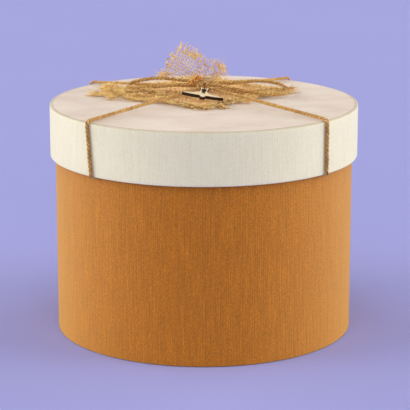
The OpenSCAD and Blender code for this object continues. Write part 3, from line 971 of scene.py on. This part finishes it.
# The wrap's ends lap over each other at the back
SEAM = math.radians(90)
LAP_WIDTH = 12
LAP_STEP = 0.16


def rib_columns(radius, seed):
    """Angles round a wall, the groove's depth at each and the arc to it, four to a rib of uneven width."""
    rng = np.random.default_rng(seed)
    round_length = 2 * math.pi * radius
    count = int(round_length / RIB_WIDTH)
    widths = rng.uniform(0.65, 1.35, count)
    edges = np.concatenate([[0], np.cumsum(widths)]) / widths.sum()
    shape = np.array([(0.0, 1.0), (0.22, 0.25), (0.5, 0.0), (0.78, 0.25)])
    at = (edges[:-1, None] + np.diff(edges)[:, None] * shape[:, 0]).ravel()
    strength = rng.uniform(0.45, 1.0, count)
    depth = (strength[:, None] * shape[:, 1]).ravel()
    return SEAM + 2 * math.pi * at, depth, round_length * at


def wrap_profile(inner, outer, low, high, turn_in, turn_under, rows):
    """Closed section of a covering paper, as (radius, height, rib share), from inside the rim down."""
    bend = EDGE_ROUND
    arc = np.radians([70, 45, 20])
    face = [(inner, high - turn_in, 0.5), (inner, high - 0.5 * turn_in, 0.5), (inner, high - 0.25, 0.4)]
    face += [(inner + 0.2, high, 0.3), (outer - bend, high, 0.4)]
    face += [(outer - bend + bend * math.cos(a), high - bend + bend * math.sin(a), 0.8) for a in arc]
    face += [(outer, z, 1.0) for z in np.linspace(high - bend, low + bend, rows)]
    face += [(outer - bend + bend * math.cos(a), low + bend - bend * math.sin(a), 0.8) for a in arc[::-1]]
    face += [(outer - bend, low, 0.5), (outer - turn_under, low, 0.5)]
    back = [(outer - turn_under, low + PAPER), (outer - bend, low + PAPER), (outer - PAPER, low + bend)]
    back += [(outer - PAPER, high - bend), (outer - bend, high - PAPER), (inner + PAPER, high - PAPER)]
    back += [(inner + PAPER, high - turn_in)]
    back = [(radius, z, 0) for radius, z in back]
    return np.array(face + back, float)


def grid_quads(rows, columns):
    """Quads of a grid of points whose columns close round."""
    row = np.arange(rows - 1)[:, None] * columns
    column = np.arange(columns)
    after = (column + 1) % columns
    quads = np.stack([row + column, row + after, row + columns + after, row + columns + column], -1)
    return quads.reshape(-1, 4)


def add_wrap(name, node, slot, body, material, radius, low, high, turn_under, flip, rows, seed):
    """A covering paper: its section goes round the wall, with ribs and a lap. flip turns it upside down."""
    rng = np.random.default_rng(seed)
    profile = wrap_profile(radius - WALL, radius, low, high, RIM_TURN, turn_under, rows)
    angle, depth, arc = rib_columns(radius, seed)
    rib_share = profile[:, 2:]
    fade = 1 - 0.45 * np.abs(smooth_noise(rng, len(profile), len(angle), 260))
    groove = GROOVE_DEPTH * rib_share * depth * fade
    lap = LAP_STEP * np.clip((arc - 2 * math.pi * radius + LAP_WIDTH) / 1.5, 0, 1) * (rib_share > 0.7)
    ring = profile[:, :1] - groove + lap
    height = np.broadcast_to(profile[:, 1:2], ring.shape)
    if flip:
        height = low + high - height
    points = np.stack([ring * np.cos(angle), ring * np.sin(angle), height], -1)
    quads = grid_quads(len(profile) + 1, len(angle)) % (len(profile) * len(angle))
    if not flip:
        quads = quads[:, ::-1]
    # Painted shade, 0 on the wall and 1 at the profile's low end: along the lid's top edge and the base's
    # foot.
    painted_edge_shade = np.clip((low + EDGE_ROUND - profile[:, 1:2]) / (0.5 * EDGE_ROUND), 0, 1)
    unrolled = run_length(profile[:, :2])[:, None]
    fibre = np.stack(np.broadcast_arrays(arc, unrolled, depth * fade, painted_edge_shade), -1)
    mount(build_mesh(name, points, quads.tolist(), material, fibre), body, slot, node)


def add_papers():
    """The orange wrap of the base and the cream one of the lid."""
    add_wrap("base_ribbed_paper", "base_wrap", "orange_paper", "base", ORANGE_PAPER, BASE_RADIUS,
             box_mm("base_wrap")[0][2], BASE_HEIGHT, FOOT_TURN, False, 24, 400)
    add_wrap("lid_ribbed_paper", "lid_side_wrap", "cream_paper", "lid", CREAM_PAPER, LID_RADIUS,
             RIM_Z, WRAP_TOP_Z, TOP_TURN, True, 12, 410)


def add_top_paper():
    """The disc on the lid: its cut edge wavers a little and its face is not quite flat."""
    columns = 480
    angle = 2 * math.pi * np.arange(columns) / columns
    shares = np.concatenate([np.linspace(0.04, 0.96, 24), [0.985, 0.996, 1.0]])
    waver = 0.1 * np.sin(5 * angle + 1) + 0.06 * np.sin(13 * angle) + 0.04 * np.sin(31 * angle + 2)
    radius = shares[:, None] * (TOP_PAPER_RADIUS - 0.2 + waver)
    x, y = radius * np.cos(angle), radius * np.sin(angle)
    dip = 0.03 + 0.03 * np.sin(0.09 * x + 1) * np.sin(0.07 * y)
    dip[-2:] += [[0.03], [0.12]]
    under_z = WRAP_TOP_Z + 0.005
    rings = np.stack([x, y, TOP_Z - dip], -1)
    rings = np.concatenate([rings, [np.column_stack([x[-1], y[-1], np.full(columns, under_z)])]])
    points = np.vstack([rings.reshape(-1, 3), [[0, 0, TOP_Z - 0.03], [0, 0, under_z]]])
    faces = grid_quads(len(rings), columns)[:, ::-1].tolist()
    centre = len(points) - 2
    last = (len(rings) - 1) * columns
    faces += [[centre, k, (k + 1) % columns] for k in range(columns)]
    faces += [[centre + 1, last + (k + 1) % columns, last + k] for k in range(columns)]
    mount(build_mesh("lid_top_sheet", points, faces, TOP_PAPER), "lid", "top_paper", "lid_top_paper")


# ---------------- charm
def charm_frame(points, pitch=True):
    """Points in the charm's own plan, hole at the origin, as they lie in the frame, pitched or upright."""
    x, y, z = np.asarray(points, float).T
    around_x, around_y, around_z = np.radians(CHARM_ANGLES)
    if pitch:
        y, z = turned(y, z, around_x)
    z, x = turned(z, x, around_y)
    x, y = turned(x, y, around_z)
    return np.stack([x, y, z], -1) + CHARM_HOLE


def charm_outline():
    """A bird in flight seen from above: head at the front, swept wings and a forked tail."""
    head = [(2.05 * math.sin(a), -8.3 - 2.05 * math.cos(a)) for a in np.linspace(0, 1.5, 9)]
    right = head + [
        (2.3, -8.05), (4, -8.05), (7, -7.95), (10.5, -7.65), (13.9, -7.25), (13.5, -6.35), (11, -5.3),
        (8, -4.65), (5.4, -3.95), (3.7, -3.1), (2.7, -1.9), (2.45, -0.6), (2.5, 0.8), (2.8, 2.6), (3.3, 5.0),
        (2.3, 4.55), (1.2, 3.5), (0.55, 3.35),
    ]
    left = [(-x, y) for x, y in right[:0:-1]]
    return np.array(right + left)


def face_with_hole(points, ring_at, ring_count, hole_at, up):
    """Triangles between an outline and the hole inside it, facing up or down."""
    grid = bmesh.new()
    number = []
    for at, count in ((ring_at, ring_count), (hole_at, HOLE_SIDES)):
        loop = [grid.verts.new(point) for point in points[at:at + count]]
        number += range(at, at + count)
        for vert, after in zip(loop, loop[1:] + loop[:1]):
            grid.edges.new((vert, after))
    bmesh.ops.triangle_fill(grid, edges=grid.edges[:], use_beauty=True)
    grid.verts.index_update()
    faces = []
    for face in grid.faces:
        corners = [number[vert.index] for vert in face.verts]
        faces.append(corners if (face.normal.z > 0) == up else corners[::-1])
    grid.free()
    return faces


def add_charm():
    """The plywood bird, with its hole and softened, charred edges."""
    outline = charm_outline()
    count = len(outline)
    ahead = np.roll(outline, -1, axis=0) - np.roll(outline, 1, axis=0)
    inward = unit(np.stack([-ahead[:, 1], ahead[:, 0]], -1))
    half = CHARM_THICKNESS / 2
    levels = [(0.55, -half, 0.2), (0.12, -half, 0.8), (0.0, -half + 0.12, 1.0), (0.0, 0.0, 1.0),
              (0.0, half - 0.12, 1.0), (0.12, half, 0.75), (0.55, half, 0.12)]
    rings = [(outline + inset * inward, z, burnt) for inset, z, burnt in levels]
    around = 2 * math.pi * np.arange(HOLE_SIDES) / HOLE_SIDES
    hole = HOLE_RADIUS * np.column_stack([np.cos(around), np.sin(around)])
    rings += [(hole, -half, 0.9), (hole, half, 0.9)]
    points = np.vstack([np.column_stack([ring, np.full(len(ring), z)]) for ring, z, _ in rings])
    char = np.concatenate([np.full(len(ring), burnt) for ring, _, burnt in rings])
    upper, hole_low = (len(levels) - 1) * count, len(levels) * count
    hole_high = hole_low + HOLE_SIDES
    faces = grid_quads(len(levels), count).tolist()
    faces += (hole_low + grid_quads(2, HOLE_SIDES)[:, ::-1]).tolist()
    faces += face_with_hole(points, upper, count, hole_high, True)
    faces += face_with_hole(points, 0, count, hole_low, False)
    fibre = np.column_stack([points[:, :2], char])
    bird = build_mesh("bird_charm", charm_frame(points), faces, PLYWOOD, fibre, smooth=False)
    mount(bird, "charm", "plywood", "charm")


def add_thread():
    """Waxed thread from the knot down through the hole, with a stopper knot under the charm."""
    route = [[0, -0.8, -3.1], [0, -0.7, -2.7], [0, -0.4, -1.5], [0, 0.45, 1.7], [0, 0.9, 3.2], [0, 2.4, 4.7],
             [0, 4.9, 5.1], [0, 7.6, 4.4], [0, 10.4, 3.4]]
    step = 0.2
    path = even_path(charm_frame(route, pitch=False), step, 0.5)
    _, sides, normals = carried_frames(path, [1, 0, 0])
    plies = []
    for start in (0, math.pi):
        turn = (2 * step * np.arange(len(path)) + start)[:, None]
        plies.append(path + 0.19 * (np.cos(turn) * sides + np.sin(turn) * normals))
    a = np.linspace(0, 4 * math.pi, 60)
    knot = np.stack([0.5 * np.cos(a), -0.85 + 0.5 * np.sin(a), -3.9 + 0.75 * a / a[-1]], 1)
    add_soft("hanging_thread", [
        tubes(plies, [1, 0.01, 0], 0.2, 0.2, 7, 500),
        tubes([charm_frame(knot, pitch=False)], [0, 0, 1], 0.36, 0.36, 8, 501),
    ], THREAD, "thread", "charm_thread")


# ---------------- carried-over CAD nodes
CAD_MATERIALS = [
    (GREYBOARD, ("base_wall", "base_floor_board", "lid_side_board", "lid_top_board")),
    (LINING_PAPER, ("base_side_lining", "base_floor_lining", "lid_side_lining", "lid_top_lining")),
    (FOOT_PAPER, ("base_foot_paper",)),
]


def cover_cad_nodes():
    """The hidden boards and linings keep their CAD shape and get a material."""
    for material, names in CAD_MATERIALS:
        for name in names:
            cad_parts[name].data.materials.clear()
            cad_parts[name].data.materials.append(material)


# ---------------- floor and lights
def add_floor():
    """A pale lavender floor, wide enough to fill the view."""
    graph = Graph("floor", 0.9, specular=0.1)
    cloud = graph.noise((0.004, 0.004, 0.004), 2.0)
    graph.colour(graph.ramp(cloud, [(0.3, (0.345, 0.35, 0.7)), (0.7, (0.352, 0.357, 0.71))]))
    size = 40000
    corners = [(-size, -size, 0), (size, -size, 0), (size, size, 0), (-size, size, 0)]
    build_mesh("floor", corners, [[0, 1, 2, 3]], graph.material, smooth=False)


def add_sun(name, azimuth, elevation, strength, softness, colour=(1, 1, 1)):
    """A broad soft source far away. Azimuth runs from the front, with left negative."""
    data = bpy.data.lights.new(name, "SUN")
    data.energy = strength
    data.angle = math.radians(softness)
    data.color = colour
    light = bpy.data.objects.new(name, data)
    light.rotation_euler = (math.radians(90 - elevation), 0, math.radians(azimuth))
    bpy.context.scene.collection.objects.link(light)


def add_lights():
    """Soft boxes on both sides and behind them, one overhead and a fill from the front."""
    warm = (1.0, 0.985, 0.95)
    for side, name in ((-1, "left"), (1, "right")):
        add_sun(name + "_box", 82 * side, 14, 2.35, 45, warm)
        add_sun(name + "_rim", 125 * side, 12, 1.2, 40, warm)
    add_sun("top_box", 0, 80, 0.36, 60)
    add_sun("front_fill", -4, 40, 0.94, 60, (1.0, 0.99, 0.93))


def add_world():
    """A lavender sweep low round the box, and a dim grey room above it."""
    world = bpy.data.worlds.new("world")
    world.use_nodes = True
    nodes, links = world.node_tree.nodes, world.node_tree.links
    height = nodes.new("ShaderNodeSeparateXYZ")
    sky = nodes.new("ShaderNodeValToRGB")
    low, high = sky.color_ramp.elements
    low.position, low.color = 0.11, (0.4, 0.4, 0.76, 1)
    high.position, high.color = 0.16, (0.23, 0.23, 0.24, 1)
    links.new(nodes.new("ShaderNodeTexCoord").outputs["Generated"], height.inputs[0])
    links.new(height.outputs[2], sky.inputs[0])
    links.new(sky.outputs[0], nodes["Background"].inputs["Color"])
    bpy.context.scene.world = world


# ---------------- the scene
add_camera()
add_bow()
add_strands()
add_knot()
add_top_paper()
add_papers()
add_patch()
add_crest()
add_charm()
add_thread()
cover_cad_nodes()
add_floor()
add_lights()
add_world()
bpy.context.scene.view_settings.view_transform = "Standard"
